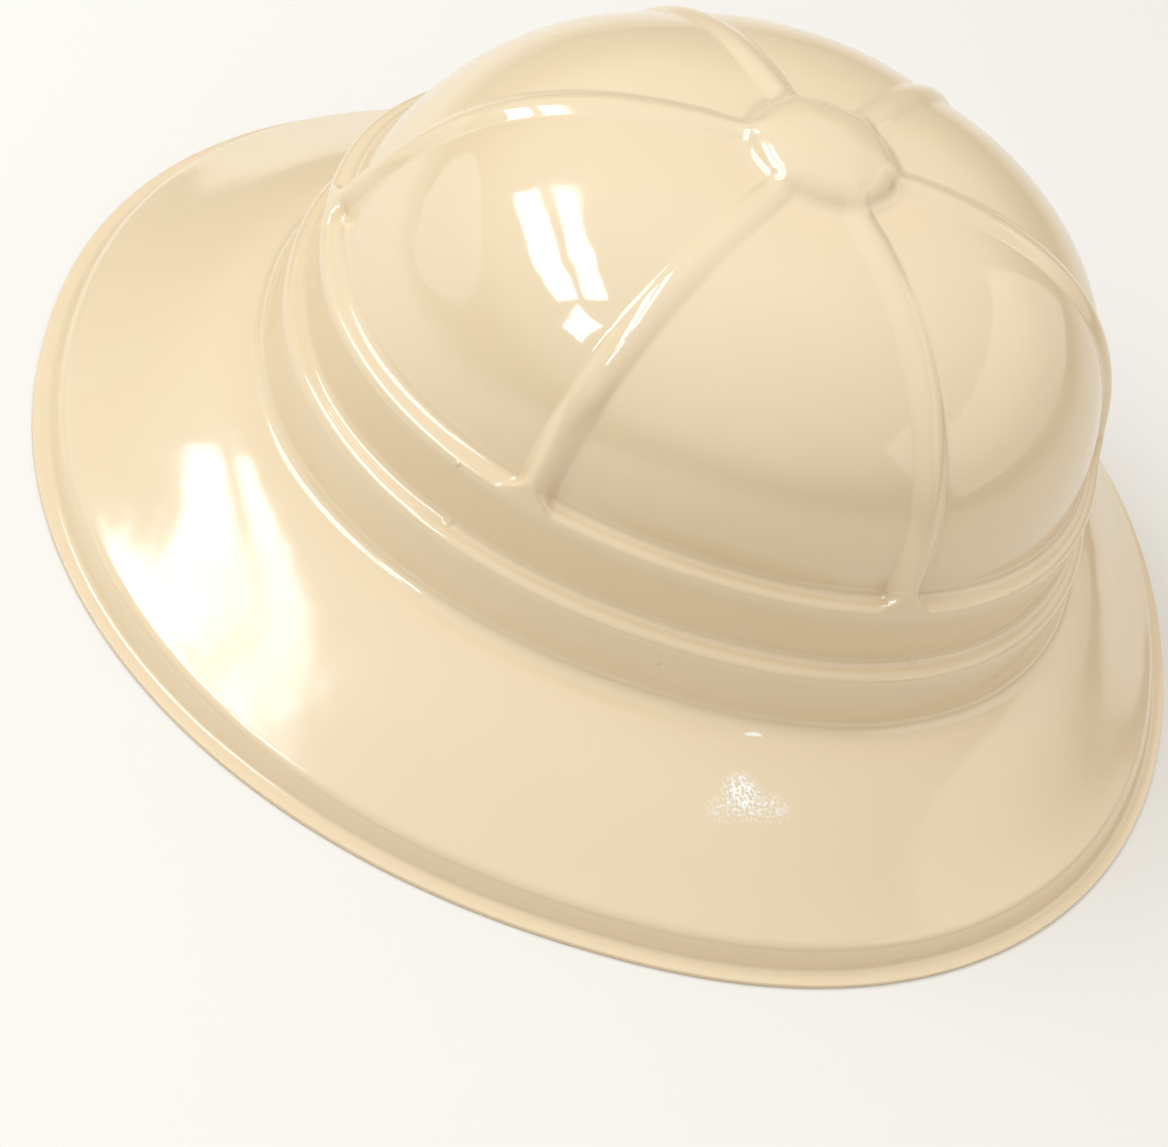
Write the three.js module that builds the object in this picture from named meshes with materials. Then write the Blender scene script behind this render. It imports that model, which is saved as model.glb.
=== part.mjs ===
import * as THREE from 'three';

// Safari hat: one thin shell of glossy cream plastic, formed in one piece.
// Millimetres, +Z up. The front points to -Y and the long way of the brim lies along Y.
// The origin is on the floor, under the middle of the brim.

// Sheet
const WALL = 1.2;

// Plan outlines, measured from the crown's upright axis: how far each reaches to the
// front, to the back and to either side, and how square its oval is (2 is an ellipse).
const OUTLINES = {
  edge: { front: 160.7, back: 144.3, side: 148.5, squareness: 2.16 },
  band: { front: 107.0, back: 99.5, side: 91.0, squareness: 2.2 },
  ledge: { front: 103.5, back: 95.0, side: 87.0, squareness: 2.24 },
  dome: { front: 102.7, back: 99.3, side: 94.6, squareness: 2.0 },
};

// Brim edge, from the cut edge inwards: a flat flange that the hat rests on, a hollow
// fillet, a steep wall and a round shoulder. Slopes are in degrees from level.
const FLANGE_WIDTH = 2.4;
const FLANGE_FILLET = 2.0;
const EDGE_WALL_SLOPE = 75;
const EDGE_WALL_TOP = 5.8;
const SHOULDER_RADIUS = 5.0;
const SHOULDER_SLOPE = 30;

// Brim, from the shoulder up to the foot of the crown
const BRIM_SHARES = [0.2, 0.45, 0.72, 1.0];
const FOOT_HEIGHT = 31.0;
const FOOT_SLOPE = 12;
const FOOT_FILLET = 4.2;
const FOOT_SPREAD = 2.9;

// Band round the crown, with a small step below and above its upper half. Each row is a
// point across a step: how far out from the step's outline and how far up from its height.
const BAND_WALL_SLOPE = 84;
const BAND_HEIGHT = 48.8;
const BAND_STEP = [
  { out: 2.5, up: -2.8, inside: true },
  { out: 1.8, up: -0.8, inside: false },
  { out: -0.2, up: 0.0, inside: false },
  { out: -1.9, up: 0.7, inside: true },
  { out: -2.5, up: 2.4, inside: true },
];

// The upper step, where the panels start. Under a rib the wall runs on up instead, so each
// row also says how high its point then lies.
const LEDGE_HEIGHT = 67.9;
const LEDGE_OUT = 2.0;
const LEDGE_STEP = [
  { out: 2.5, up: -2.8, ribUp: -2.8, inside: true },
  { out: 1.8, up: -0.8, ribUp: -0.4, inside: false },
  { out: -0.2, up: 0.0, ribUp: 1.4, inside: false },
  { out: -1.9, up: 0.7, ribUp: 3.2, inside: true },
];

// Crown: a dome in six pillowed panels, with a raised rib between each two. Its shape is a
// superellipse of revolution stretched to the dome's outline.
const DOME_LOW = 21.2;
const DOME_TOP = 126.0;
const DOME_FULLNESS = 2.93;
const PANEL_INSET = 2.9;
const PILLOW_HEIGHT = 36;
const PILLOW_BULGE = 1.2;
const RIB_COUNT = 6;
const RIB_FIRST = 30;
const RIB_PROUD_LOW = 1.9;
const RIB_PROUD_HIGH = 1.0;
const RIB_HALF = 4.4;
const CORNER_RADIUS = 2.6;
const PANEL_RISES = [
  { up: 2.4, ribUp: 4.8 },
  { up: 5.0, ribUp: 7.0 },
  { up: 9.5, ribUp: 10.7 },
  { up: 16.5, ribUp: 16.8 },
  { up: 25.5, ribUp: 25.5 },
];
const DOME_SHARES = [0.75, 0.6, 0.44, 0.29];

// Button on top: a low six-sided knob whose corners meet the ribs. Each row is a ring of
// it: the size of its corners, and its height above the dome's top.
const BUTTON_ROUNDING = 0.7;
const BUTTON_RINGS = [
  { corner: 23.2, up: -0.4, ribUp: 0.6, inside: true },
  { corner: 20.7, up: 0.4, ribUp: 1.2, inside: true },
  { corner: 18.2, up: 2.9, ribUp: 3.2, inside: true },
  { corner: 15.4, up: 4.5, ribUp: 4.5, inside: true },
  { corner: 7.4, up: 6.0, ribUp: 6.0, inside: false },
];
const BUTTON_HEIGHT = 6.3;

// Mesh lines: distances from a rib's middle, lines across a panel, and the angle that the
// outermost of a rib's lines may take where the ribs draw together.
const RIB_LINES = [1.5, 3.0, 4.4, 7.0];
const FIELD_LINES = 5;
const RIB_LINE_ANGLE = 24;
const BAND_LINE_RADIUS = 95;

const CREAM = 0xf0dcb6;

const SECTOR = (2 * Math.PI) / RIB_COUNT;

const radians = (degrees) => (degrees * Math.PI) / 180;
const mix = (a, b, share) => a + (b - a) * share;
const clamp = (value) => Math.min(Math.max(value, 0), 1);

// A smooth step from 0 to 1 between two values.
function smoothStep(low, high, value) {
  const t = clamp((value - low) / (high - low));
  return t * t * t * (t * (6 * t - 15) + 10);
}

// How far an outline reaches from the crown's axis at an angle.
function reach(outline, angle) {
  const length = Math.sin(angle) < 0 ? outline.front : outline.back;
  const across = Math.pow(Math.abs(Math.cos(angle)) / outline.side, outline.squareness);
  const along = Math.pow(Math.abs(Math.sin(angle)) / length, outline.squareness);
  return Math.pow(across + along, -1 / outline.squareness);
}

// Points round an arc, as [distance, height], while its slope turns between two angles.
function arcPoints(start, radius, slopeFrom, slopeTo, steps) {
  const turn = Math.sign(slopeTo - slopeFrom);
  const first = radians(slopeFrom);
  const points = [];
  for (let step = 1; step <= steps; step += 1) {
    const slope = radians(mix(slopeFrom, slopeTo, step / steps));
    points.push([
      start[0] + turn * radius * (Math.sin(slope) - Math.sin(first)),
      start[1] + turn * radius * (Math.cos(first) - Math.cos(slope)),
    ]);
  }
  return points;
}

// The height on a curve between two points with a given slope at each end.
function slopedHeight(from, slopeFrom, to, slopeTo, share) {
  const run = to[0] - from[0];
  const square = share * share;
  const cube = square * share;
  return (2 * cube - 3 * square + 1) * from[1] + (3 * square - 2 * cube) * to[1]
    + (cube - 2 * square + share) * run * Math.tan(radians(slopeFrom))
    + (cube - square) * run * Math.tan(radians(slopeTo));
}

// The brim's edge, as [distance inwards from the cut edge, height].
function edgeSection() {
  const flat = [FLANGE_WIDTH, WALL];
  const fillet = arcPoints(flat, FLANGE_FILLET, 0, EDGE_WALL_SLOPE, 3);
  const foot = fillet[fillet.length - 1];
  const run = (EDGE_WALL_TOP - foot[1]) / Math.tan(radians(EDGE_WALL_SLOPE));
  const top = [foot[0] + run, EDGE_WALL_TOP];
  const shoulder = arcPoints(top, SHOULDER_RADIUS, EDGE_WALL_SLOPE, SHOULDER_SLOPE, 2);
  return [[0, WALL], flat, ...fillet, top, ...shoulder];
}

// A point of the dome: its outline's reach, a share of it, and how proud of the dome.
function domePoint(dome, share, proud) {
  const rise = Math.pow(1 - Math.pow(share, DOME_FULLNESS), 1 / DOME_FULLNESS);
  const height = DOME_TOP - DOME_LOW;
  const outward = Math.pow(share, DOME_FULLNESS - 1) / dome;
  const upward = Math.pow(rise, DOME_FULLNESS - 1) / height;
  const length = Math.hypot(outward, upward);
  return [
    dome * share + (proud * outward) / length,
    DOME_LOW + height * rise + (proud * upward) / length,
  ];
}

// The dome's share of its full reach at a height.
function domeShare(height) {
  const rise = clamp((height - DOME_LOW) / (DOME_TOP - DOME_LOW));
  return Math.pow(1 - Math.pow(rise, DOME_FULLNESS), 1 / DOME_FULLNESS);
}

// How much of a rib there is at a distance from its middle: 1 on top, 0 on the panel.
// Low down it widens, which rounds the panel's bottom corners.
function ribShare(distance, up) {
  const low = clamp((CORNER_RADIUS - up) / CORNER_RADIUS);
  const widening = CORNER_RADIUS * (1 - Math.sqrt(1 - low * low));
  const across = clamp((distance - widening) / RIB_HALF);
  return 1 - across * across;
}

// A point of the crown a little above the ledge, on a panel or on a rib.
function crownPoint(angle, up, proud, outAtLedge, bulge) {
  const dome = reach(OUTLINES.dome, angle);
  const ledge = reach(OUTLINES.ledge, angle);
  const fade = Math.pow(1 - clamp(up / PILLOW_HEIGHT), 2);
  const [radius, height] = domePoint(dome, domeShare(LEDGE_HEIGHT + up), proud + bulge * (1 - fade));
  const atLedge = dome * domeShare(LEDGE_HEIGHT);
  return [radius + (ledge + outAtLedge - atLedge - proud) * fade, height];
}

// How far round a panel an angle lies: 0 at its ribs and 1 in its middle.
function panelMiddle(angle) {
  const turns = (angle - radians(RIB_FIRST)) / SECTOR;
  const across = 2 * (turns - Math.floor(turns)) - 1;
  return 1 - across * across;
}

const mixPoints = (a, b, share) => [mix(a[0], b[0], share), mix(a[1], b[1], share)];

// The stations of the section, from the cut edge to the button. Each has the radius at
// which its mesh lines are spaced, a function for its point, and whether the inside of the
// shell follows it.
function sectionStations() {
  const stations = [];
  const add = (point, inside, lineRadius = BAND_LINE_RADIUS) => {
    stations.push({ point, inside, lineRadius });
  };

  const section = edgeSection();
  for (const [inset, height] of section) {
    add((angle) => [reach(OUTLINES.edge, angle) - inset, height], true);
  }

  const shoulder = section[section.length - 1];
  const footOut = FOOT_SPREAD + FOOT_FILLET;
  for (const share of BRIM_SHARES) {
    add((angle) => {
      const edge = reach(OUTLINES.edge, angle);
      const foot = [edge - reach(OUTLINES.band, angle) - footOut, FOOT_HEIGHT];
      const inset = mix(shoulder[0], foot[0], share);
      return [edge - inset, slopedHeight(shoulder, SHOULDER_SLOPE, foot, FOOT_SLOPE, share)];
    }, true);
  }
  const fillet = arcPoints([0, FOOT_HEIGHT], FOOT_FILLET, FOOT_SLOPE, BAND_WALL_SLOPE, 3);
  for (const [inset, height] of fillet) {
    add((angle) => [reach(OUTLINES.band, angle) + footOut - inset, height], true);
  }

  for (const { out, up, inside } of BAND_STEP) {
    add((angle) => [reach(OUTLINES.band, angle) + out, BAND_HEIGHT + up], inside);
  }
  for (const { out, up, ribUp, inside } of LEDGE_STEP) {
    add((angle, distance) => {
      const panel = [reach(OUTLINES.ledge, angle) + out, LEDGE_HEIGHT + up];
      const rib = crownPoint(angle, ribUp, RIB_PROUD_LOW, LEDGE_OUT, 0);
      return mixPoints(panel, rib, ribShare(distance, up));
    }, inside);
  }

  for (const { up, ribUp } of PANEL_RISES) {
    const lineRadius = OUTLINES.dome.side * domeShare(LEDGE_HEIGHT + up);
    add((angle, distance) => {
      const bulge = PILLOW_BULGE * panelMiddle(angle);
      const panel = crownPoint(angle, up, 0, -PANEL_INSET, bulge);
      const rib = crownPoint(angle, ribUp, RIB_PROUD_LOW, LEDGE_OUT, 0);
      return mixPoints(panel, rib, ribShare(distance, up));
    }, true, lineRadius);
  }
  for (const share of DOME_SHARES) {
    const proud = mix(RIB_PROUD_HIGH, RIB_PROUD_LOW, smoothStep(0.3, 0.9, share));
    add((angle, distance) => {
      const dome = reach(OUTLINES.dome, angle);
      const bulge = PILLOW_BULGE * panelMiddle(angle) * smoothStep(0.2, 0.6, share);
      const panel = domePoint(dome, share, bulge);
      const rib = domePoint(dome, share, proud);
      return mixPoints(panel, rib, ribShare(distance, CORNER_RADIUS));
    }, true, OUTLINES.dome.side * share);
  }
  for (const { corner, up, ribUp, inside } of BUTTON_RINGS) {
    add((angle, distance) => {
      const share = ribShare(distance, CORNER_RADIUS);
      return [buttonReach(corner, angle), DOME_TOP + mix(up, ribUp, share)];
    }, inside, corner);
  }
  return stations;
}

// The button's outline: a hexagon with its corners on the ribs, partly rounded.
function buttonReach(corner, angle) {
  const turns = (angle - radians(RIB_FIRST)) / SECTOR;
  const fromFace = (turns - Math.floor(turns) - 0.5) * SECTOR;
  const hexagon = (corner * Math.cos(SECTOR / 2)) / Math.cos(fromFace);
  return mix(hexagon, corner * Math.cos(SECTOR / 4), BUTTON_ROUNDING);
}

// The mesh lines round the hat. Each is a rule that gives its angle and its distance from
// the nearest rib where the lines are spaced for a radius.
function meshLines() {
  const widest = RIB_LINES[RIB_LINES.length - 1];
  const besideRib = (offset, radius) => Math.min(
    Math.asin(Math.min(offset / radius, 1)),
    radians((RIB_LINE_ANGLE * offset) / widest),
  );
  const lines = [];
  for (let rib = 0; rib < RIB_COUNT; rib += 1) {
    const ribAngle = radians(RIB_FIRST) + rib * SECTOR;
    for (const offset of [0, ...RIB_LINES]) {
      lines.push((radius) => ({ angle: ribAngle + besideRib(offset, radius), distance: offset }));
    }
    for (let field = 1; field <= FIELD_LINES; field += 1) {
      const share = field / (FIELD_LINES + 1);
      lines.push((radius) => {
        const start = besideRib(widest, radius);
        const turn = mix(start, SECTOR - start, share);
        const distance = radius * Math.sin(Math.min(turn, SECTOR - turn));
        return { angle: ribAngle + turn, distance: Math.max(distance, widest) };
      });
    }
    for (const offset of [...RIB_LINES].reverse()) {
      lines.push((radius) => ({
        angle: ribAngle + SECTOR - besideRib(offset, radius),
        distance: offset,
      }));
    }
  }
  return lines;
}

// The outside of the shell as a grid of points, one row for each station.
function outsideGrid(stations, lines) {
  return stations.map(({ point, lineRadius }) => lines.map((line) => {
    const { angle, distance } = line(lineRadius);
    const [radius, height] = point(angle, distance);
    return new THREE.Vector3(radius * Math.cos(angle), radius * Math.sin(angle), height);
  }));
}

// The way out of the sheet at a point of the grid. The flange's is straight up.
function gridNormal(grid, row, column, flatRows) {
  if (row < flatRows) {
    return new THREE.Vector3(0, 0, 1);
  }
  const count = grid[row].length;
  const round = grid[row][(column + 1) % count].clone().sub(grid[row][(column + count - 1) % count]);
  const next = grid[Math.min(row + 1, grid.length - 1)][column];
  const inward = next.clone().sub(grid[row - 1][column]);
  return round.cross(inward).normalize();
}

// The closed shell: the outside, the inside one wall thickness below it, the cut edge
// that joins them, and a fan over the middle of each.
function shellGeometry() {
  const stations = sectionStations();
  const lines = meshLines();
  const outside = outsideGrid(stations, lines);
  const flatRows = 2;
  const inside = outside
    .map((row, index) => row.map((point, column) => (
      point.clone().addScaledVector(gridNormal(outside, index, column, flatRows), -WALL)
    )))
    .filter((row, index) => stations[index].inside);

  const top = new THREE.Vector3(0, 0, DOME_TOP + BUTTON_HEIGHT);
  const underTop = new THREE.Vector3(0, 0, DOME_TOP + BUTTON_HEIGHT - WALL);
  const points = [...outside.flat(), ...inside.flat(), top, underTop];
  const count = lines.length;
  const insideStart = outside.length * count;
  const topIndex = points.length - 2;
  const faces = [];
  const quad = (a, b, c, d) => faces.push(a, b, c, a, c, d);

  for (let column = 0; column < count; column += 1) {
    const next = (column + 1) % count;
    for (let row = 0; row + 1 < outside.length; row += 1) {
      const here = row * count;
      quad(here + column, here + next, here + count + next, here + count + column);
    }
    for (let row = 0; row + 1 < inside.length; row += 1) {
      const here = insideStart + row * count;
      quad(here + column, here + count + column, here + count + next, here + next);
    }
    quad(insideStart + column, insideStart + next, next, column);
    const lastOutside = (outside.length - 1) * count;
    const lastInside = insideStart + (inside.length - 1) * count;
    faces.push(lastOutside + column, lastOutside + next, topIndex);
    faces.push(lastInside + next, lastInside + column, topIndex + 1);
  }

  const geometry = new THREE.BufferGeometry().setFromPoints(points);
  geometry.setIndex(faces);
  geometry.computeVertexNormals();
  return geometry;
}

const plastic = new THREE.MeshStandardMaterial({ color: CREAM, roughness: 0.15, metalness: 0 });
const hatShell = new THREE.Mesh(shellGeometry(), plastic);
hatShell.name = 'hat_shell';
hatShell.position.y = (OUTLINES.edge.front - OUTLINES.edge.back) / 2;

const hat = new THREE.Group();
hat.add(hatShell);

export default hat;
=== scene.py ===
"""Safari hat: the finely shaped gloss plastic shell, on a pale floor in soft light."""

import logging
import math
from collections.abc import Sequence
from dataclasses import dataclass, field
from enum import Enum

import bpy
import numpy as np
from mathutils import Matrix, Quaternion, Vector


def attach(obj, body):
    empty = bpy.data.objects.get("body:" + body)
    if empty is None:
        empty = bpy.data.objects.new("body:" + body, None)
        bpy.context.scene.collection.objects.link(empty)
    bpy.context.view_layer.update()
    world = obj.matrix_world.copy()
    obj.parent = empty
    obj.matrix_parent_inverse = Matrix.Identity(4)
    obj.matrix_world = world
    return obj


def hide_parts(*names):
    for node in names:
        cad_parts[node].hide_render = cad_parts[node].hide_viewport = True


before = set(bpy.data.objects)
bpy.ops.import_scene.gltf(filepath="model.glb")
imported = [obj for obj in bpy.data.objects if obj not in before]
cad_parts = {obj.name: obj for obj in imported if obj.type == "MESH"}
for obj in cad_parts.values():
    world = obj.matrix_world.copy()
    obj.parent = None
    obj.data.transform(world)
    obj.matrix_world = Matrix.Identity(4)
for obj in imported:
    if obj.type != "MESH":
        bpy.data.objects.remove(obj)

LOG = logging.getLogger("safari_hat")
MM = 0.001

Array = np.ndarray
Colour = tuple[float, float, float]
Place = tuple[float, float, float]
Socket = bpy.types.NodeSocket
Tree = bpy.types.NodeTree


def smooth_step(low: float | Array, high: float | Array, value: float | Array) -> Array:
    """Return a smooth step from 0 to 1 between two values.

    Args:
        low: Where the step starts.
        high: Where the step ends.
        value: Where the step is read.

    Returns:
        The step's height at the value.
    """
    t = np.clip((value - low) / (high - low), 0.0, 1.0)
    return t**3 * (t * (6 * t - 15) + 10)


def mix(a: float | Array, b: float | Array, share: float | Array) -> float | Array:
    """Return the value that lies a share of the way from a to b."""
    return a + (b - a) * share


def rounded_path(corners: list[tuple[Array, Array]], cuts: Sequence[float],
                 steps: Sequence[int]) -> Array:
    """Round the corners of a path in a vertical section, or of many such paths at once.

    Args:
        corners: The path's corners as (distance, height), each a number or one per column.
        cuts: How far before and after each inner corner its rounding reaches.
        steps: How many points each inner corner takes.

    Returns:
        The rounded path, as points by 2 by columns.
    """
    points = [np.stack(np.broadcast_arrays(*corner)).astype(float) for corner in corners]
    points = [point.reshape(2, -1) for point in points]
    path = [points[0]]
    for before, corner, after, cut, count in zip(points, points[1:], points[2:], cuts, steps):
        back = (before - corner) / np.linalg.norm(before - corner, axis=0)
        on = (after - corner) / np.linalg.norm(after - corner, axis=0)
        start, end = corner + cut * back, corner + cut * on
        for t in np.linspace(0, 1, count):
            path.append((1 - t) ** 2 * start + 2 * t * (1 - t) * corner + t**2 * end)
    path.append(points[-1])
    return np.stack(path)


def spread_path(path: Array, longest: float) -> Array:
    """Add points to the long straight runs of a path, so that no run is longer than asked.

    Args:
        path: Points by 2 by columns.
        longest: The longest run allowed, measured in the first column.

    Returns:
        The path with the added points.
    """
    rows = [path[0]]
    for start, end in zip(path, path[1:]):
        run = float(np.linalg.norm((end - start)[:, 0]))
        count = max(1, math.ceil(run / longest))
        rows.extend(mix(start, end, step / count) for step in range(1, count + 1))
    return np.stack(rows)


@dataclass(frozen=True)
class Outline:
    """An oval round the crown's axis, with its own reach to the front, back and sides."""

    front: float
    back: float
    side: float
    squareness: float

    def reach(self, angle: Array) -> Array:
        """Return how far the oval reaches from the axis.

        Args:
            angle: Angles round the axis, in radians.

        Returns:
            The distances, in millimetres.
        """
        length = np.where(np.sin(angle) < 0, self.front, self.back)
        across = (np.abs(np.cos(angle)) / self.side) ** self.squareness
        along = (np.abs(np.sin(angle)) / length) ** self.squareness
        return (across + along) ** (-1 / self.squareness)


@dataclass(frozen=True)
class Columns:
    """The mesh columns round the hat: fine beside each rib and even across each panel."""

    ribs: int = 6
    first_rib: float = 30.0
    beside_rib: int = 16
    across_panel: int = 32
    zone: float = 10.5
    widest_angle: float = 27.0

    @property
    def sector(self) -> float:
        """Return the angle from one rib to the next, in radians."""
        return 2 * math.pi / self.ribs

    def at(self, radius: float) -> tuple[Array, Array]:
        """Return the columns' angles and distances from the nearest rib at a radius.

        Args:
            radius: The radius at which the columns beside a rib keep their distances.

        Returns:
            Angles in radians and distances in millimetres, one of each per column.
        """
        offsets = np.linspace(0, self.zone, self.beside_rib + 1)
        turn = np.minimum(
            np.arcsin(np.minimum(offsets / radius, 1)),
            math.radians(self.widest_angle) * offsets / self.zone,
        )
        panel = np.linspace(turn[-1], self.sector - turn[-1], self.across_panel + 1)[1:-1]
        apart = radius * np.sin(np.minimum(panel, self.sector - panel))
        turns = np.concatenate([turn, panel, self.sector - turn[:0:-1]])
        distances = np.concatenate([offsets, np.maximum(apart, self.zone), offsets[:0:-1]])
        starts = math.radians(self.first_rib) + self.sector * np.arange(self.ribs)
        angles = (starts[:, None] + turns[None, :]).ravel()
        return angles, np.tile(distances, self.ribs)

    def panel_middle(self, angle: Array) -> Array:
        """Return where a panel is crowned.

        Args:
            angle: Angles round the axis, in radians.

        Returns:
            0 at the ribs and 1 in the middle of each panel.
        """
        turns = (angle - math.radians(self.first_rib)) / self.sector
        across = 2 * (turns - np.floor(turns)) - 1
        return 1 - across**2

    def hexagon(self, corner: Array, angle: Array, rounding: float) -> Array:
        """Return the reach of a rounded hexagon whose corners lie on the ribs.

        Args:
            corner: How far its sharp corners reach.
            angle: Angles round the axis, in radians.
            rounding: 0 for sharp corners, 1 for a circle.

        Returns:
            The distances, in millimetres.
        """
        turns = (angle - math.radians(self.first_rib)) / self.sector
        from_face = (turns - np.floor(turns) - 0.5) * self.sector
        sharp = corner * math.cos(self.sector / 2) / np.cos(from_face)
        return mix(sharp, corner * math.cos(self.sector / 4), rounding)


@dataclass(frozen=True)
class Ring:
    """One ring of the shell's outside: the radius and height of each of its columns."""

    angle: Array
    radius: Array
    height: Array

    def points(self) -> Array:
        """Return the ring's points.

        Returns:
            The points, as columns by 3.
        """
        across = self.radius * np.cos(self.angle)
        along = self.radius * np.sin(self.angle)
        return np.stack([across, along, self.height], axis=1)


@dataclass
class BrimEdge:
    """The brim's border: a trimmed flat flange, a hollow fillet, a steep wall, a shoulder."""

    outline: Outline
    wall: float
    flange_width: float = 2.4
    flange_fillet: float = 2.0
    wall_slope: float = 75.0
    wall_top: float = 5.8
    shoulder_radius: float = 5.0
    shoulder_slope: float = 30.0
    trim_rounding: float = 0.18
    trim_corner: float = 0.3
    arc_steps: int = 9

    def arc(self, start: tuple[float, float], radius: float, slopes: tuple[float, float],
            steps: int) -> list[tuple[float, float]]:
        """Return points round an arc whose slope turns between two angles.

        Args:
            start: The arc's first point, as (inset, height).
            radius: The arc's radius.
            slopes: The slopes at its start and end, in degrees from level.
            steps: How many points follow the first.

        Returns:
            The points after the first.
        """
        turn = math.copysign(1.0, slopes[1] - slopes[0])
        first = math.radians(slopes[0])
        points = []
        for step in range(1, steps + 1):
            slope = math.radians(mix(*slopes, step / steps))
            points.append((
                start[0] + turn * radius * (math.sin(slope) - math.sin(first)),
                start[1] + turn * radius * (math.cos(first) - math.cos(slope)),
            ))
        return points

    def section(self) -> list[tuple[float, float]]:
        """Return the border's section.

        Returns:
            Its points, as (inset from the cut edge, height).
        """
        trim = self.trim_rounding
        corner = self.trim_corner * trim
        flat = (self.flange_width, self.wall)
        cut = [(0.0, self.wall - trim), (corner, self.wall - corner), (trim, self.wall)]
        fillet = self.arc(flat, self.flange_fillet, (0, self.wall_slope), self.arc_steps)
        foot = fillet[-1]
        run = (self.wall_top - foot[1]) / math.tan(math.radians(self.wall_slope))
        top = (foot[0] + run, self.wall_top)
        middle = ((foot[0] + top[0]) / 2, (foot[1] + top[1]) / 2)
        turn = (self.wall_slope, self.shoulder_slope)
        shoulder = self.arc(top, self.shoulder_radius, turn, self.arc_steps)
        return [*cut, flat, *fillet, middle, top, *shoulder]

    def rings(self, angle: Array) -> list[Ring]:
        """Return the border's rings.

        Args:
            angle: The columns' angles, in radians.

        Returns:
            The rings, from the cut edge inwards.
        """
        edge = self.outline.reach(angle)
        return [Ring(angle, edge - inset, np.full_like(angle, height))
                for inset, height in self.section()]


@dataclass
class Brim:
    """The wide brim, from the border's shoulder up to the hollow foot of the band."""

    edge: BrimEdge
    band: Outline
    foot_height: float = 31.0
    foot_slope: float = 12.0
    foot_fillet: float = 4.2
    foot_spread: float = 2.9
    band_slope: float = 84.0
    steps: int = 22
    fillet_steps: int = 10

    def rings(self, angle: Array) -> list[Ring]:
        """Return the brim's rings, and then those of the fillet at its foot.

        Args:
            angle: The columns' angles, in radians.

        Returns:
            The rings, from the border inwards.
        """
        inset, height = self.edge.section()[-1]
        outer = self.edge.outline.reach(angle)
        inner = self.band.reach(angle) + self.foot_spread + self.foot_fillet
        run = outer - inset - inner
        rise_out = run * math.tan(math.radians(self.edge.shoulder_slope))
        rise_in = run * math.tan(math.radians(self.foot_slope))
        rings = []
        for t in np.linspace(0, 1, self.steps + 1)[1:]:
            level = (
                (2 * t**3 - 3 * t**2 + 1) * height
                + (3 * t**2 - 2 * t**3) * self.foot_height
                + (t**3 - 2 * t**2 + t) * rise_out
                + (t**3 - t**2) * rise_in
            )
            rings.append(Ring(angle, outer - inset - run * t, level))
        fillet = self.edge.arc((0.0, self.foot_height), self.foot_fillet,
                               (self.foot_slope, self.band_slope), self.fillet_steps)
        rings.extend(Ring(angle, inner - across, np.full_like(angle, level))
                     for across, level in fillet)
        return rings


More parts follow.
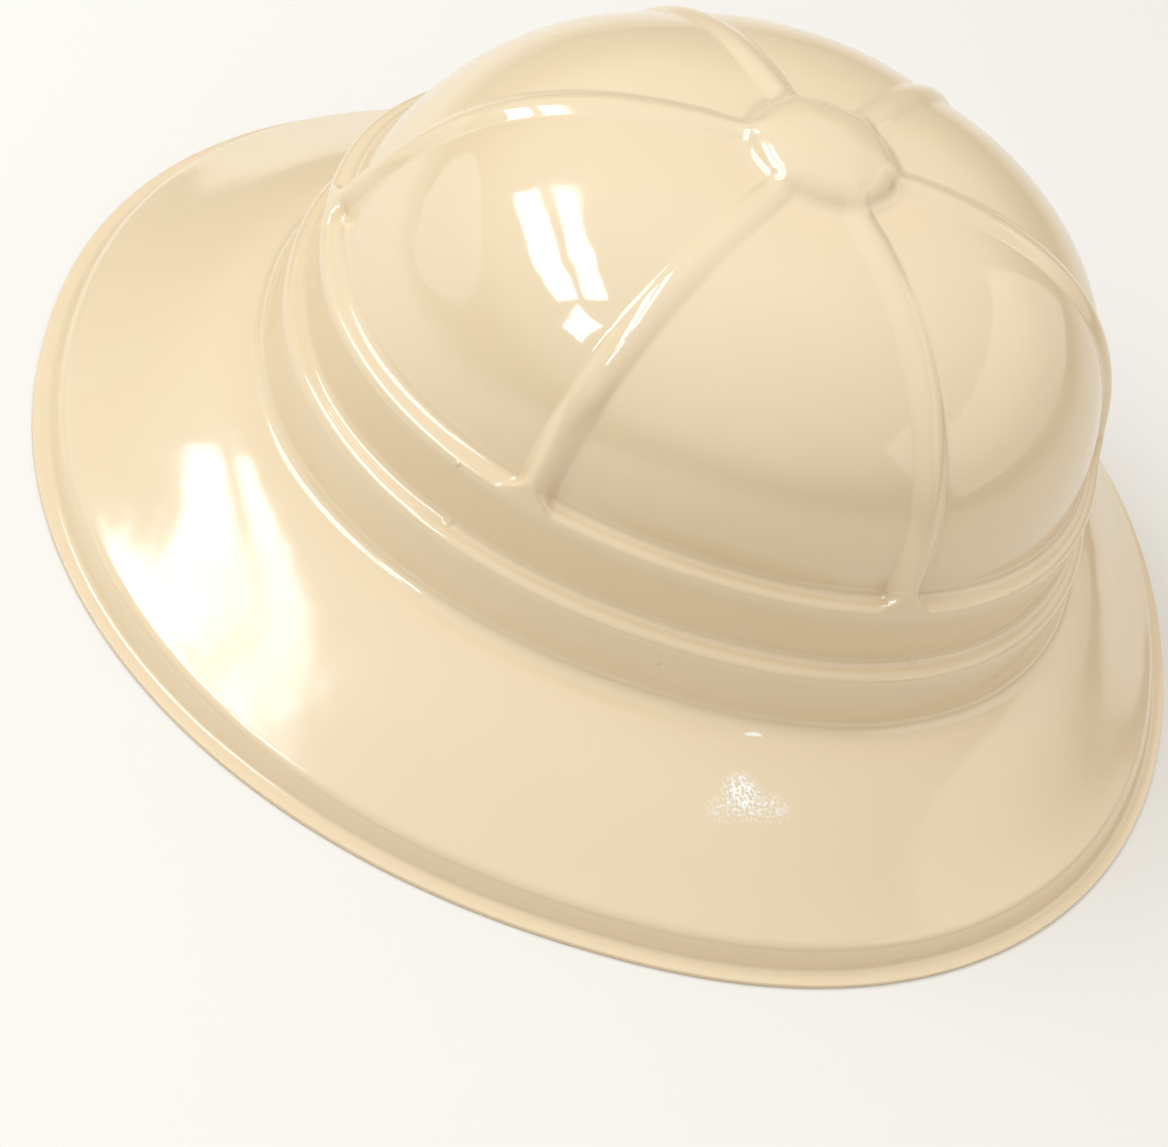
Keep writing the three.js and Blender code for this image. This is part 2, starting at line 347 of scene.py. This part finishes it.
@dataclass
class Crown:
    """The stepped band and the dome: pillowed panels between raised ribs."""

    columns: Columns
    band: Outline
    ledge: Outline
    dome: Outline
    foot_top: tuple[float, float]
    band_height: float = 48.8
    ledge_height: float = 67.9
    step_half: float = 2.4
    step_tilt: float = 0.25
    roll: float = 2.6
    hollow: float = 2.2
    dome_low: float = 21.2
    dome_top: float = 126.0
    fullness: float = 2.93
    panel_inset: float = 2.9
    pillow_height: float = 36.0
    pillow_bulge: float = 1.2
    rib_proud_low: float = 1.9
    rib_proud_high: float = 1.2
    rib_half: float = 4.4
    rib_lag_low: float = 2.8
    corner_radius: float = 2.6
    rib_start: float = -4.0
    rib_whole: float = 0.5
    rib_lag_end: float = 18.0
    wall_lean: float = 0.105
    panel_start: float = 3.0
    bulge_shares: tuple[float, float] = (0.2, 0.6)
    rib_shares: tuple[float, float] = (0.3, 0.9)
    step_points: tuple[int, int] = (9, 7)
    longest_run: float = 2.6
    dome_steps: int = 56
    measured_steps: int = 4000
    last_share: float = 0.285

    def share_at(self, up: Array) -> Array:
        """Return the dome's share of its full reach at a height above the ledge."""
        rise = (self.ledge_height + up - self.dome_low) / (self.dome_top - self.dome_low)
        return (1 - np.clip(rise, 0, 1) ** self.fullness) ** (1 / self.fullness)

    def height_at(self, share: Array) -> Array:
        """Return the dome's height at a share of its full reach."""
        rise = (1 - np.clip(share, 0, 1) ** self.fullness) ** (1 / self.fullness)
        return self.dome_low + (self.dome_top - self.dome_low) * rise

    def rib_share(self, distance: Array, up: Array) -> Array:
        """Return how much of a rib there is at a distance from its middle.

        Args:
            distance: Distances from the nearest rib's middle.
            up: Heights above the ledge. Low down the rib widens into the panel's corners.

        Returns:
            1 on top of the rib and 0 on the panel.
        """
        low = np.clip((self.corner_radius - up) / self.corner_radius, 0, 1)
        widening = self.corner_radius * (1 - np.sqrt(1 - low**2))
        return 1 - np.clip((distance - widening) / self.rib_half, 0, 1) ** 2

    def surface(self, angle: Array, share: Array, up: Array, proud: Array,
                ledge_shift: float) -> tuple[Array, Array]:
        """Return points on the dome, or proud of it, that flow into the ledge below.

        Args:
            angle: Angles round the axis.
            share: Shares of the dome's full reach.
            up: Heights above the ledge.
            proud: How far the points stand proud of the dome.
            ledge_shift: How far outwards the dome is shifted where it meets the ledge.

        Returns:
            Their radii and heights.
        """
        dome = self.dome.reach(angle)
        rise = (self.height_at(share) - self.dome_low) / (self.dome_top - self.dome_low)
        outward = share ** (self.fullness - 1) / dome
        upward = rise ** (self.fullness - 1) / (self.dome_top - self.dome_low)
        length = np.hypot(outward, upward)
        fade = (1 - np.clip(up / self.pillow_height, 0, 1)) ** 2
        at_ledge = dome * self.share_at(0.0)
        radius = dome * share + proud * outward / length
        radius = radius + (self.ledge.reach(angle) + ledge_shift - at_ledge) * fade
        return radius, self.height_at(share) + proud * upward / length

    def panel_surface(self, angle: Array, share: Array, up: Array) -> tuple[Array, Array]:
        """Return points on the pillowed panels.

        Args:
            angle: Angles round the axis.
            share: Shares of the dome's full reach.
            up: Heights above the ledge.

        Returns:
            Their radii and heights.
        """
        fade = (1 - np.clip(up / self.pillow_height, 0, 1)) ** 2
        bulge = self.pillow_bulge * self.columns.panel_middle(angle)
        bulge = bulge * (1 - fade) * smooth_step(*self.bulge_shares, share)
        return self.surface(angle, share, up, bulge, -self.panel_inset)

    def rib_surface(self, angle: Array, share: Array, up: Array) -> tuple[Array, Array]:
        """Return points on top of the ribs.

        Args:
            angle: Angles round the axis.
            share: Shares of the dome's full reach.
            up: Heights above the ledge.

        Returns:
            Their radii and heights.
        """
        lower = smooth_step(*self.rib_shares, share)
        proud = mix(self.rib_proud_high, self.rib_proud_low, lower)
        return self.surface(angle, share, up, proud, 0.0)

    def band_path(self, angle: Array) -> Array:
        """Return the path from the brim's foot over both steps to the panels.

        Args:
            angle: Angles round the axis.

        Returns:
            The path, as points by 2 by columns.
        """
        band = self.band.reach(angle)
        ledge = self.ledge.reach(angle)
        up = np.full_like(angle, self.panel_start)
        start = self.panel_surface(angle, self.share_at(up), up)
        half = self.step_half
        path = rounded_path(
            [
                (band + self.foot_top[0], self.foot_top[1]),
                (band + half, self.band_height - self.step_tilt),
                (band - half, self.band_height + self.step_tilt),
                (ledge + half, self.ledge_height - self.step_tilt),
                (ledge - half, self.ledge_height + self.step_tilt),
                start,
            ],
            [self.roll, self.hollow, self.roll, self.hollow],
            [*self.step_points, *self.step_points],
        )
        return spread_path(path, self.longest_run)

    def band_rings(self, angle: Array, distance: Array) -> list[Ring]:
        """Return the rings of the band, both steps and the panels' lowest part.

        Args:
            angle: The columns' angles, in radians.
            distance: The columns' distances from the nearest rib's middle.

        Returns:
            The rings, from the brim's foot upwards.
        """
        path = self.band_path(angle)
        up = path[:, 1] - self.ledge_height
        runs = np.linalg.norm(np.diff(path, axis=0), axis=1)
        along = np.concatenate([np.zeros((1, len(angle))), np.cumsum(runs, axis=0)])
        rings = []
        first = int(np.argmax(up.mean(axis=1) > self.rib_start))
        span = along[-1] - along[first]
        rib_end = self.panel_start + self.rib_lag(self.panel_start)
        for row in range(1, len(path)):
            radius, height = path[row]
            if row > first:
                rib_up = mix(up[first], rib_end, (along[row] - along[first]) / span)
                share = self.rib_share(distance, up[row])
                rib_radius, rib_height = self.rib_surface(angle, self.share_at(rib_up), rib_up)
                blend = smooth_step(self.rib_start, self.rib_whole, rib_up)
                wall = path[first][0] - (rib_up - up[first]) * self.wall_lean
                rib_radius = mix(wall, rib_radius, blend)
                rib_height = mix(self.ledge_height + rib_up, rib_height, blend)
                radius = mix(radius, rib_radius, share)
                height = mix(height, rib_height, share)
            rings.append(Ring(angle, radius, height))
        return rings

    def rib_lag(self, up: Array) -> Array:
        """Return how much higher a rib's points lie than the panel's in the same ring."""
        return self.rib_lag_low * (1 - smooth_step(0.0, self.rib_lag_end, up))

    def dome_shares(self) -> Array:
        """Return evenly spaced places for the dome's rings.

        Returns:
            Shares of the dome's full reach, from the panels' foot to the button's.
        """
        fine = np.linspace(0.0, 1.0, self.measured_steps)
        top = self.height_at(self.last_share)
        low = self.ledge_height + self.panel_start
        heights = low + (top - low) * np.sin(fine * math.pi / 2)
        shares = self.share_at(heights - self.ledge_height)
        runs = np.hypot(np.diff(heights), self.dome.side * np.diff(shares))
        length = np.concatenate([[0], np.cumsum(runs)])
        wanted = np.linspace(0, length[-1], self.dome_steps + 1)[1:]
        return np.interp(wanted, length, shares)

    def dome_rings(self) -> list[Ring]:
        """Return the rings of the panels and ribs.

        Returns:
            The rings, up to the button's foot.
        """
        rings = []
        for share in self.dome_shares():
            angle, distance = self.columns.at(min(self.dome.side * share, self.dome.side))
            up = np.full_like(angle, self.height_at(share) - self.ledge_height)
            panel = self.panel_surface(angle, np.full_like(angle, share), up)
            rib_up = up + self.rib_lag(up)
            rib_share = np.where(self.rib_lag(up) > 0, self.share_at(rib_up), share)
            rib = self.rib_surface(angle, rib_share, rib_up)
            cover = self.rib_share(distance, up)
            rings.append(Ring(angle, mix(panel[0], rib[0], cover), mix(panel[1], rib[1], cover)))
        return rings

    def top_height(self, angle: Array, radius: Array) -> Array:
        """Return the bare dome's height at a radius."""
        return self.height_at(radius / self.dome.reach(angle))


@dataclass
class Button:
    """The low six-sided knob on top, whose corners meet the ribs."""

    crown: Crown
    rounding: float = 0.7
    base_corner: float = 21.0
    top_corner: float = 16.8
    side_height: float = 4.4
    height: float = 6.3
    cuts: tuple[float, float, float] = (2.4, 3.4, 4.0)
    cut_points: tuple[int, int, int] = (9, 11, 7)
    reach_in: float = 25.2
    flat_reach: float = 7.4
    flat_drop: float = 0.2
    last_reach: float = 0.5
    rib_fade: float = 4.4
    longest_run: float = 1.6

    def rows(self) -> Array:
        """Return the button's section.

        Returns:
            Its points, as corner reach and height above the bare dome.
        """
        path = rounded_path(
            [
                (self.reach_in, 0.0),
                (self.base_corner, 0.0),
                (self.top_corner, self.side_height),
                (self.flat_reach, self.height - self.flat_drop),
                (self.last_reach, self.height),
            ],
            self.cuts,
            self.cut_points,
        )
        return spread_path(path, self.longest_run)[:, :, 0]

    def rings(self) -> list[Ring]:
        """Return the button's rings.

        Returns:
            The rings, from its foot to its middle.
        """
        crown = self.crown
        rings = []
        for corner, lift in self.rows():
            angle, distance = crown.columns.at(corner)
            radius = crown.columns.hexagon(corner, angle, self.rounding)
            rib = crown.rib_proud_high * crown.rib_share(distance, crown.corner_radius)
            rib = rib * max(0.0, 1 - lift / self.rib_fade)
            height = crown.top_height(angle, radius) + lift + rib
            rings.append(Ring(angle, radius, height))
        return rings


@dataclass(frozen=True)
class Mark:
    """A small round mark on the surface, such as a nub that the mould left."""

    place: Place
    radius: float
    height: float


@dataclass(frozen=True)
class Grain:
    """A noise pattern: its cells per metre, and how many finer layers it has."""

    scale: float
    detail: float


@dataclass
class Pattern:
    """The nodes of one material, whose patterns are read at a place on the piece."""

    tree: Tree
    place: Socket

    def noise(self, grain: Grain) -> Socket:
        """Add a noise texture.

        Args:
            grain: The noise's scale and detail.

        Returns:
            The noise, from 0 to 1.
        """
        node = self.tree.nodes.new("ShaderNodeTexNoise")
        node.inputs["Scale"].default_value = grain.scale
        node.inputs["Detail"].default_value = grain.detail
        self.tree.links.new(self.place, node.inputs["Vector"])
        return node.outputs["Fac"]

    def blend(self, share: Socket, first: Colour | Socket, second: Colour) -> Socket:
        """Blend from a first colour to a second.

        Args:
            share: How much of the second colour there is.
            first: A colour, or the output of an earlier blend.
            second: A colour.

        Returns:
            The blended colour.
        """
        node = self.tree.nodes.new("ShaderNodeMix")
        node.data_type = "RGBA"
        if isinstance(first, tuple):
            node.inputs["A"].default_value = (*first, 1)
        else:
            self.tree.links.new(first, node.inputs["A"])
        node.inputs["B"].default_value = (*second, 1)
        self.tree.links.new(share, node.inputs["Factor"])
        return node.outputs["Result"]

    def ramp(self, value: Socket, source: tuple[float, float],
             result: tuple[float, float] = (0.0, 1.0)) -> Socket:
        """Map a value smoothly from one range to another.

        Args:
            value: The value.
            source: The value's range.
            result: What the two ends of that range become.

        Returns:
            The mapped value.
        """
        node = self.tree.nodes.new("ShaderNodeMapRange")
        node.interpolation_type = "SMOOTHSTEP"
        for name, number in zip(("From Min", "From Max", "To Min", "To Max"), source + result):
            node.inputs[name].default_value = number
        self.tree.links.new(value, node.inputs["Value"])
        return node.outputs["Result"]

    def join(self, operation: str, first: Socket, second: Socket) -> Socket:
        """Join two values.

        Args:
            operation: ADD for their sum, MULTIPLY for their product.
            first: A value.
            second: A value.

        Returns:
            The joined value.
        """
        node = self.tree.nodes.new("ShaderNodeMath")
        node.operation = operation
        self.tree.links.new(first, node.inputs[0])
        self.tree.links.new(second, node.inputs[1])
        return node.outputs["Value"]

    def distance(self, middle: Place) -> Socket:
        """Measure how far the place is from a point.

        Args:
            middle: The point.

        Returns:
            The distance, in metres.
        """
        node = self.tree.nodes.new("ShaderNodeVectorMath")
        node.operation = "DISTANCE"
        node.inputs[1].default_value = middle
        self.tree.links.new(self.place, node.inputs[0])
        return node.outputs["Value"]

    def height(self) -> Socket:
        """Take the height out of the place.

        Returns:
            The height, in metres.
        """
        node = self.tree.nodes.new("ShaderNodeSeparateXYZ")
        self.tree.links.new(self.place, node.inputs["Vector"])
        return node.outputs["Z"]

    def marks(self, marks: Sequence[Mark]) -> Socket:
        """Add up several marks.

        Args:
            marks: The marks, each highest at its middle and gone beyond its radius.

        Returns:
            The sum of their heights.
        """
        total = None
        for mark in marks:
            apart = self.distance(mark.place)
            height = self.ramp(apart, (0.0, mark.radius), (mark.height, 0.0))
            total = height if total is None else self.join("ADD", total, height)
        return total

    def bump(self, height: Socket, depth: float, strength: float,
             normal: Socket | None = None) -> Socket:
        """Add a bump on top of an earlier one.

        Args:
            height: The bump's height, from 0 to 1.
            depth: What a height of 1 stands for, in metres.
            strength: How much of the bump shows.
            normal: The earlier bump's normal, if there is one.

        Returns:
            The bumped normal.
        """
        node = self.tree.nodes.new("ShaderNodeBump")
        node.inputs["Strength"].default_value = strength
        node.inputs["Distance"].default_value = depth
        self.tree.links.new(height, node.inputs["Height"])
        if normal is not None:
            self.tree.links.new(normal, node.inputs["Normal"])
        return node.outputs["Normal"]


def new_material(name: str) -> tuple[bpy.types.Material, bpy.types.Node, Pattern]:
    """Make an empty material.

    Args:
        name: The material's name.

    Returns:
        The material, its shader and the pattern that its nodes are added to.
    """
    material = bpy.data.materials.new(name)
    material.use_nodes = True
    tree = material.node_tree
    place = tree.nodes.new("ShaderNodeTexCoord").outputs["Object"]
    return material, tree.nodes["Principled BSDF"], Pattern(tree, place)


@dataclass(frozen=True)
class GlossPlastic:
    """Glossy cream plastic sheet: uneven gloss, faint waves, a few nubs, and one scuffed patch
    and scratch that are bumped and painted pale as a painted highlight.
    """

    name: str = "cream_plastic"
    colour: Colour = (0.775, 0.632, 0.422)
    shade: Colour = (0.745, 0.598, 0.388)
    clouds: Grain = Grain(14.0, 3.0)
    ior: float = 1.75
    gloss: float = 0.06
    dull: float = 0.18
    haze: Grain = Grain(26.0, 4.0)
    haze_range: tuple[float, float] = (0.42, 0.72)
    brim_haze: float = 0.05
    rubbed_heights: tuple[float, float] = (0.028, 0.036)
    waves: Grain = Grain(40.0, 2.0)
    wave_depth: float = 0.0009
    wave_strength: float = 0.42
    nub_depth: float = 0.0004
    nub_strength: float = 1.0
    grit: Grain = Grain(1300.0, 3.0)
    grit_range: tuple[float, float] = (0.30, 0.70)
    scuff_and_highlight_whole: float = 0.9
    scuff_depth: float = 0.0002
    scuff_strength: float = 0.8
    # Painted highlight: this pale colour on the scuffed patch and scratch stands in for the
    # light they catch.
    scuff_highlight_colour: Colour = (0.97, 0.95, 0.88)
    nub_marks: tuple[Mark, ...] = (
        Mark((0.0762, -0.0521, 0.0496), 0.0017, 1.0),
        Mark((0.0769, 0.0636, 0.0493), 0.0016, 1.0),
        Mark((0.0940, 0.0036, 0.0422), 0.0009, 0.5),
        Mark((0.0749, -0.0552, 0.0664), 0.0010, 0.9),
    )
    # The scuffed patch on the brim: bumped, and painted pale as a painted highlight.
    scuff_and_highlight_marks: tuple[Mark, ...] = (
        Mark((0.1104, 0.0306, 0.0260), 0.0062, 1.5),
        Mark((0.1130, 0.0335, 0.0246), 0.0074, 0.8),
        Mark((0.1158, 0.0268, 0.0234), 0.0060, 0.6),
        Mark((0.1116, 0.0402, 0.0247), 0.0058, 0.7),
    )
    # A scratch near the brim's foot: bumped, and painted pale as a painted glint.
    scratch_and_glint_marks: tuple[Mark, ...] = (
        Mark((0.0971, 0.0295, 0.0309), 0.0009, 0.6),
        Mark((0.0968, 0.0304, 0.0310), 0.0010, 0.9),
        Mark((0.0965, 0.0313, 0.0310), 0.0010, 1.1),
        Mark((0.0963, 0.0322, 0.0310), 0.0010, 1.1),
        Mark((0.0962, 0.0331, 0.0310), 0.0009, 0.7),
    )

    def material(self) -> bpy.types.Material:
        """Make the sheet's colour, gloss and relief.

        Returns:
            The finished material.
        """
        material, shader, pattern = new_material(self.name)
        shader.inputs["IOR"].default_value = self.ior
        # This mask gives both a real bump and a painted highlight in the colour.
        scuff_and_highlight = self.scuff_and_highlight(pattern)
        links = material.node_tree.links
        links.new(self.tint(pattern, scuff_and_highlight), shader.inputs["Base Color"])
        links.new(self.roughness(pattern), shader.inputs["Roughness"])
        links.new(self.relief(pattern, scuff_and_highlight), shader.inputs["Normal"])
        return material

    def scuff_and_highlight(self, pattern: Pattern) -> Socket:
        """Mask the brim's scuffed patch and scratch, which are bumped and painted pale as a
        painted highlight.

        Args:
            pattern: The material's nodes.

        Returns:
            How far the scuffed patch, the scratch and their painted highlight cover the gloss,
            from 0 to 1.
        """
        grit = pattern.ramp(pattern.noise(self.grit), self.grit_range)
        scuff_and_highlight = pattern.join("MULTIPLY", pattern.marks(self.scuff_and_highlight_marks), grit)
        marked = pattern.join("ADD", scuff_and_highlight, pattern.marks(self.scratch_and_glint_marks))
        return pattern.ramp(marked, (0.0, self.scuff_and_highlight_whole))

    def tint(self, pattern: Pattern, scuff_and_highlight: Socket) -> Socket:
        """Return the faintly clouded colour, with the painted highlight of the scuffed patch and
        scratch on it.
        """
        clouded = pattern.blend(pattern.noise(self.clouds), self.shade, self.colour)
        # Painted highlight: the scuffed patch and scratch are blended towards a pale colour.
        return pattern.blend(scuff_and_highlight, clouded, self.scuff_highlight_colour)

    def roughness(self, pattern: Pattern) -> Socket:
        """Make the gloss uneven, and duller on the handled brim.

        Args:
            pattern: The material's nodes.

        Returns:
            The roughness.
        """
        haze = pattern.ramp(pattern.noise(self.haze), self.haze_range, (self.gloss, self.dull))
        brim = pattern.ramp(pattern.height(), self.rubbed_heights, (self.brim_haze, 0.0))
        return pattern.join("ADD", haze, brim)

    def relief(self, pattern: Pattern, scuff_and_highlight: Socket) -> Socket:
        """Lay the faint waves, the nubs and the scuff's grit over each other.

        Args:
            pattern: The material's nodes.
            scuff_and_highlight: How far the scuffed patch and scratch cover the gloss; the same
                mask paints their highlight into the colour.

        Returns:
            The bumped normal.
        """
        waves = pattern.noise(self.waves)
        nubs = pattern.marks(self.nub_marks)
        normal = pattern.bump(waves, self.wave_depth, self.wave_strength)
        normal = pattern.bump(nubs, self.nub_depth, self.nub_strength, normal)
        return pattern.bump(scuff_and_highlight, self.scuff_depth, self.scuff_strength, normal)


@dataclass
class HatShell:
    """The whole hat: one thin sheet with its outside, its inside and its trimmed edge."""

    columns: Columns = field(default_factory=Columns)
    wall: float = 1.2
    edge: Outline = Outline(160.7, 144.3, 148.5, 2.16)
    band: Outline = Outline(107.0, 99.5, 91.0, 2.2)
    ledge: Outline = Outline(103.5, 95.0, 87.0, 2.24)
    dome: Outline = Outline(102.7, 99.3, 94.6, 2.0)
    line_radius: float = 95.0
    flat_rings: int = 4
    trim_ring: int = 2
    inside_every: int = 3
    finish: GlossPlastic = GlossPlastic()

    @property
    def axis_y(self) -> float:
        """Return how far behind the middle of the brim the crown's axis stands."""
        return (self.edge.front - self.edge.back) / 2

    def rings(self) -> list[Ring]:
        """Return every ring of the outside.

        Returns:
            The rings, from the cut edge to the button's middle.
        """
        angle, distance = self.columns.at(self.line_radius)
        border = BrimEdge(self.edge, self.wall)
        brim = Brim(border, self.band)
        brim_rings = brim.rings(angle)
        last = brim_rings[-1]
        foot_top = (float((last.radius - self.band.reach(angle))[0]), float(last.height[0]))
        crown = Crown(self.columns, self.band, self.ledge, self.dome, foot_top)
        return [
            *border.rings(angle),
            *brim_rings,
            *crown.band_rings(angle, distance),
            *crown.dome_rings(),
            *Button(crown).rings(),
        ]

    def normals(self, grid: Array) -> Array:
        """Return the outward direction at each point of the outside.

        Args:
            grid: Rings by columns by 3.

        Returns:
            Unit vectors of the same shape.
        """
        around = np.roll(grid, -1, axis=1) - np.roll(grid, 1, axis=1)
        inward = np.gradient(grid, axis=0)
        normal = np.cross(around, inward)
        return normal / np.linalg.norm(normal, axis=2, keepdims=True)

    def inside(self, grid: Array) -> Array:
        """Return the inside of the sheet, one wall thickness below the outside.

        Args:
            grid: The outside, as rings by columns by 3.

        Returns:
            The inside's rings, fewer than the outside's.
        """
        normal = self.normals(grid)
        normal[:self.flat_rings] = (0.0, 0.0, 1.0)
        flange = [0, self.flat_rings - 1]
        rows = [*flange, *range(self.flat_rings, len(grid), self.inside_every)]
        inner = (grid - self.wall * normal)[rows]
        inner[:len(flange), :, 2] = 0.0
        inner[0, :, :2] = grid[self.trim_ring, :, :2]
        return inner

    def faces(self, rings: int, count: int) -> list[tuple[int, ...]]:
        """Return the faces between the rings, and the fans that close both ends.

        Args:
            rings: How many rings there are.
            count: How many points each ring has.

        Returns:
            The faces. The first fan's middle follows the last ring, and then the second's.
        """
        faces = []
        for row in range(rings - 1):
            here, above = row * count, (row + 1) * count
            for column in range(count):
                after = (column + 1) % count
                faces.append((here + column, here + after, above + after, above + column))
        first_middle = rings * count
        last = first_middle - count
        for column in range(count):
            after = (column + 1) % count
            faces.append((after, column, first_middle))
            faces.append((last + column, last + after, first_middle + 1))
        return faces

    def build(self) -> bpy.types.Object:
        """Build the shell, dress it and put it in the place of its plain solid.

        Returns:
            The hat.
        """
        outer = np.stack([ring.points() for ring in self.rings()])
        inner = self.inside(outer)
        trim = outer[0].copy()
        trim[:, 2] = self.wall - trim[:, 2]
        loop = np.concatenate([inner[::-1], trim[None], outer])
        rings, count = loop.shape[:2]
        apex = np.array([[0, 0, inner[-1, :, 2].max()], [0, 0, outer[-1, :, 2].max()]])
        points = np.concatenate([loop.reshape(-1, 3), apex])
        points[:, 1] += self.axis_y
        faces = self.faces(rings, count)
        mesh = bpy.data.meshes.new("hat")
        mesh.from_pydata((points * MM).tolist(), [], faces)
        mesh.polygons.foreach_set("use_smooth", [True] * len(mesh.polygons))
        mesh.materials.append(self.finish.material())
        mesh.update()
        hat = bpy.data.objects.new("hat", mesh)
        bpy.context.scene.collection.objects.link(hat)
        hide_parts("hat_shell")
        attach(hat, "root")
        LOG.info("hat: %d faces", len(faces))
        return hat


class LightShape(Enum):
    """The outlines that a soft light has."""

    LONG = "RECTANGLE"
    OVAL = "ELLIPSE"


@dataclass(frozen=True)
class SoftLight:
    """An area light that faces a point."""

    name: str
    place: Place
    target: Place
    size: tuple[float, float]
    power: float
    colour: Colour = (1.0, 1.0, 1.0)
    turn: float = 0.0
    shape: LightShape = LightShape.LONG

    def build(self) -> None:
        """Add the light to the scene."""
        data = bpy.data.lights.new(self.name, "AREA")
        data.shape = self.shape.value
        data.size, data.size_y = self.size
        data.energy = self.power
        data.color = self.colour
        light = bpy.data.objects.new(self.name, data)
        light.location = self.place
        way = Vector(self.target) - Vector(self.place)
        turn = Quaternion((0.0, 0.0, 1.0), math.radians(self.turn))
        light.rotation_euler = (way.to_track_quat("-Z", "Y") @ turn).to_euler()
        bpy.context.scene.collection.objects.link(light)


@dataclass(frozen=True)
class Sky:
    """Even light from all round that is bright on one side and dim and warm on the other."""

    bright_side: Place = (0.06, 0.0, 0.99)
    bright: Colour = (1.02, 1.01, 1.00)
    middle: Colour = (0.80, 0.76, 0.70)
    dim: Colour = (0.17, 0.15, 0.125)
    stops: tuple[float, float, float] = (0.60, 0.77, 0.97)

    def build(self) -> None:
        """Make the scene's world."""
        world = bpy.data.worlds.new("studio")
        world.use_nodes = True
        tree = world.node_tree
        place = tree.nodes.new("ShaderNodeTexCoord")
        facing = tree.nodes.new("ShaderNodeVectorMath")
        facing.operation = "DOT_PRODUCT"
        facing.inputs[1].default_value = Vector(self.bright_side).normalized()
        spread = tree.nodes.new("ShaderNodeMapRange")
        spread.inputs["From Min"].default_value = -1.0
        ramp = tree.nodes.new("ShaderNodeValToRGB")
        colours = ramp.color_ramp
        colours.interpolation = "EASE"
        colours.elements[0].position, colours.elements[1].position = self.stops[0], self.stops[2]
        colours.elements[0].color = (*self.dim, 1)
        colours.elements[1].color = (*self.bright, 1)
        colours.elements.new(self.stops[1]).color = (*self.middle, 1)
        tree.links.new(place.outputs["Generated"], facing.inputs[0])
        tree.links.new(facing.outputs["Value"], spread.inputs["Value"])
        tree.links.new(spread.outputs["Result"], ramp.inputs["Fac"])
        tree.links.new(ramp.outputs["Color"], tree.nodes["Background"].inputs["Color"])
        bpy.context.scene.world = world


@dataclass
class Studio:
    """The floor, the soft lights and the camera."""

    floor_size: float = 60.0
    floor_near: Colour = (0.79, 0.775, 0.74)
    # Painted shade: the floor's far colour, darker where the light would fall off.
    floor_far_shade: Colour = (0.56, 0.54, 0.50)
    floor_shade_fade: tuple[float, float] = (0.35, 1.50)
    floor_roughness: float = 0.8
    sky: Sky = Sky()
    azimuth: float = 77.3
    elevation: float = 42.6
    roll: float = 25.3
    aim: Place = (0.0005, -0.0006, -0.0254)
    distance: float = 0.98
    focal_length: float = 114.94
    film_width: float = 36.0
    window_colour: Colour = (0.86, 0.93, 1.0)
    window_turn: float = 8.5

    def lights(self) -> list[SoftLight]:
        """Return the soft lights.

        Returns:
            Three panes of window light in front, and two wide fills.
        """
        crown, brim = (0.0, 0.0, 0.08), (0.0, 0.0, 0.06)
        pane = (self.window_colour, self.window_turn)
        return [
            SoftLight("window_low", (-0.02, -0.90, 0.985), crown, (0.97, 0.205), 4.4, *pane),
            SoftLight("window_high", (-0.05, -0.705, 1.14), crown, (0.97, 0.16), 3.2, *pane),
            SoftLight("window_end", (0.64, -0.78, 0.99), crown, (0.22, 0.28), 1.5, *pane),
            SoftLight("front_fill", (-0.45, -1.55, 0.42), brim, (1.6, 0.7), 1.8,
                      shape=LightShape.OVAL),
            SoftLight("back_fill", (-0.25, 1.45, 0.76), crown, (2.4, 1.0), 4.6),
        ]

    def build_floor(self) -> None:
        """Add the pale floor, with painted shade: its colour grades slightly darker with
        distance, standing in for light falling off.
        """
        half = self.floor_size / 2
        mesh = bpy.data.meshes.new("floor")
        corners = [(-half, -half, 0), (half, -half, 0), (half, half, 0), (-half, half, 0)]
        mesh.from_pydata(corners, [], [(0, 1, 2, 3)])
        material, shader, pattern = new_material("pale_floor")
        shader.inputs["Roughness"].default_value = self.floor_roughness
        # Painted shade: the floor's colour darkens away from the hat, a painted fall-off of
        # light.
        fade = pattern.ramp(pattern.distance((0.0, 0.0, 0.0)), self.floor_shade_fade)
        tint = pattern.blend(fade, self.floor_near, self.floor_far_shade)
        material.node_tree.links.new(tint, shader.inputs["Base Color"])
        mesh.materials.append(material)
        floor = bpy.data.objects.new("floor", mesh)
        bpy.context.scene.collection.objects.link(floor)

    def build_camera(self) -> None:
        """Add the camera at the photograph's angle and make it the scene's own."""
        data = bpy.data.cameras.new("camera")
        data.sensor_width = self.film_width
        data.lens = self.focal_length
        round_hat, above = math.radians(self.azimuth), math.radians(self.elevation)
        out = Vector((math.sin(round_hat) * math.cos(above),
                      -math.cos(round_hat) * math.cos(above), math.sin(above)))
        level = Vector((math.cos(round_hat), math.sin(round_hat), 0.0))
        axes = Matrix((level, out.cross(level), out)).transposed()
        axes = axes @ Matrix.Rotation(math.radians(self.roll), 3, "Z")
        camera = bpy.data.objects.new("camera", data)
        place = Vector(self.aim) + self.distance * out
        camera.matrix_world = Matrix.Translation(place) @ axes.to_4x4()
        bpy.context.scene.collection.objects.link(camera)
        bpy.context.scene.camera = camera

    def build(self) -> None:
        """Build the whole studio."""
        self.build_floor()
        self.build_camera()
        self.sky.build()
        for light in self.lights():
            light.build()
        bpy.context.scene.view_settings.view_transform = "Standard"


def main() -> None:
    """Build the hat and its studio."""
    logging.basicConfig(level=logging.INFO)
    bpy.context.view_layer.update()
    Studio().build()
    HatShell().build()
    bpy.context.view_layer.update()


if __name__ == "__main__":
    main()
